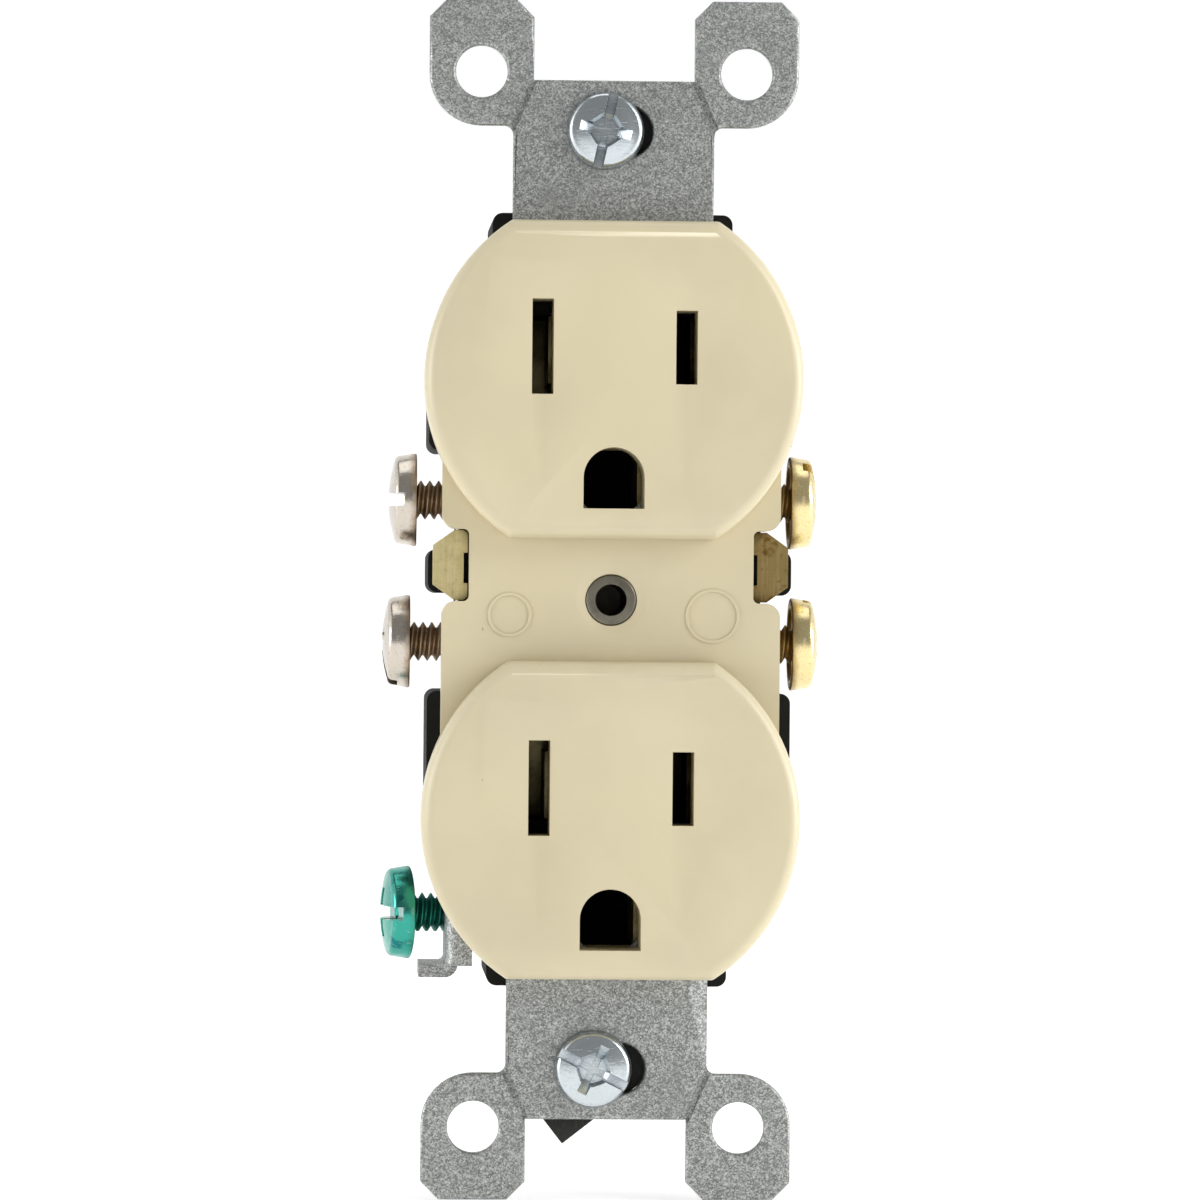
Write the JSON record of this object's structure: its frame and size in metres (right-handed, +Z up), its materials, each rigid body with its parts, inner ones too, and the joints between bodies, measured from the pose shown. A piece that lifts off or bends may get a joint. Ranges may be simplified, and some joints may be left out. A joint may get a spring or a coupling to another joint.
{
  "type": "duplex wall outlet",
  "caption": "Duplex wall receptacle with two grounding outlets in an ivory cover, side terminal screws, push-in wire holes and a steel mounting strap with break-off ears.",
  "frame": {"origin": "device centre on the rear plane of the mounting strap, which is the wall surface", "axes": "-Y out of the wall towards the user, +X to the user's right, +Z up"},
  "size_m": [0.0395, 0.0279, 0.1068],
  "materials": {
    "ivory_plastic": "satin moulded thermoplastic",
    "galvanised_steel": "galvanised sheet with fine spangle",
    "black_plastic": "moulded, slightly satin",
    "plated_rivet_steel": "zinc plated",
    "brass": "stamped sheet",
    "spring_steel": "tempered strip",
    "nickel_screw": "nickel plated, tarnished in the threads",
    "brass_screw": "brass plated",
    "green_screw": "green lacquered plating",
    "zinc_screw": "bright zinc with a blue cast",
    "black_fibre": "pressed fibre sheet"
  },
  "bodies": {
    "device": {"face_cover": "ivory_plastic", "mounting_strap": "galvanised_steel", "back_body": "black_plastic", "centre_rivet": "plated_rivet_steel", "neutral_bus": "brass", "hot_bus": "brass", "ground_contact_upper": "brass", "ground_contact_lower": "brass", "ground_contact_rivets": "brass", "wire_clamp_neutral_upper": "spring_steel", "wire_clamp_neutral_lower": "spring_steel", "wire_clamp_hot_upper": "spring_steel", "wire_clamp_hot_lower": "spring_steel"},
    "neutral_screw_upper": {"neutral_screw_upper": "nickel_screw"},
    "neutral_screw_lower": {"neutral_screw_lower": "nickel_screw"},
    "hot_screw_upper": {"hot_screw_upper": "brass_screw"},
    "hot_screw_lower": {"hot_screw_lower": "brass_screw"},
    "ground_screw": {"ground_screw": "green_screw"},
    "mounting_screw_upper": {"mounting_screw_upper": "zinc_screw"},
    "mounting_screw_lower": {"mounting_screw_lower": "zinc_screw"},
    "retaining_washer_upper": {"retaining_washer_upper": "black_fibre"},
    "retaining_washer_lower": {"retaining_washer_lower": "black_fibre"}
  },
  "joints": [
    {"name": "neutral_screw_upper_travel", "type": "slide", "parent": "device", "child": "neutral_screw_upper", "axis": [-1, 0, 0], "range_m": [-0.0036, 0.001]},
    {"name": "neutral_screw_lower_travel", "type": "slide", "parent": "device", "child": "neutral_screw_lower", "axis": [-1, 0, 0], "range_m": [-0.0041, 0.0005]},
    {"name": "hot_screw_upper_travel", "type": "slide", "parent": "device", "child": "hot_screw_upper", "axis": [1, 0, 0], "range_m": [-0.0027, 0.0019]},
    {"name": "hot_screw_lower_travel", "type": "slide", "parent": "device", "child": "hot_screw_lower", "axis": [1, 0, 0], "range_m": [-0.0029, 0.0017]},
    {"name": "ground_screw_travel", "type": "slide", "parent": "device", "child": "ground_screw", "axis": [-0.9903, -0.1392, 0], "range_m": [-0.0025, 0.001]},
    {"name": "retaining_washer_upper_slide", "type": "slide", "parent": "device", "child": "retaining_washer_upper", "axis": [1, 0, 0], "range_m": [-0.00085, 0.00245]},
    {"name": "mounting_screw_upper_travel", "type": "slide", "parent": "retaining_washer_upper", "child": "mounting_screw_upper", "axis": [0, -1, 0], "range_m": [0, 0.018]},
    {"name": "retaining_washer_lower_slide", "type": "slide", "parent": "device", "child": "retaining_washer_lower", "axis": [1, 0, 0], "range_m": [-0.00045, 0.00285]},
    {"name": "mounting_screw_lower_travel", "type": "slide", "parent": "retaining_washer_lower", "child": "mounting_screw_lower", "axis": [0, -1, 0], "range_m": [0, 0.018]}
  ]
}
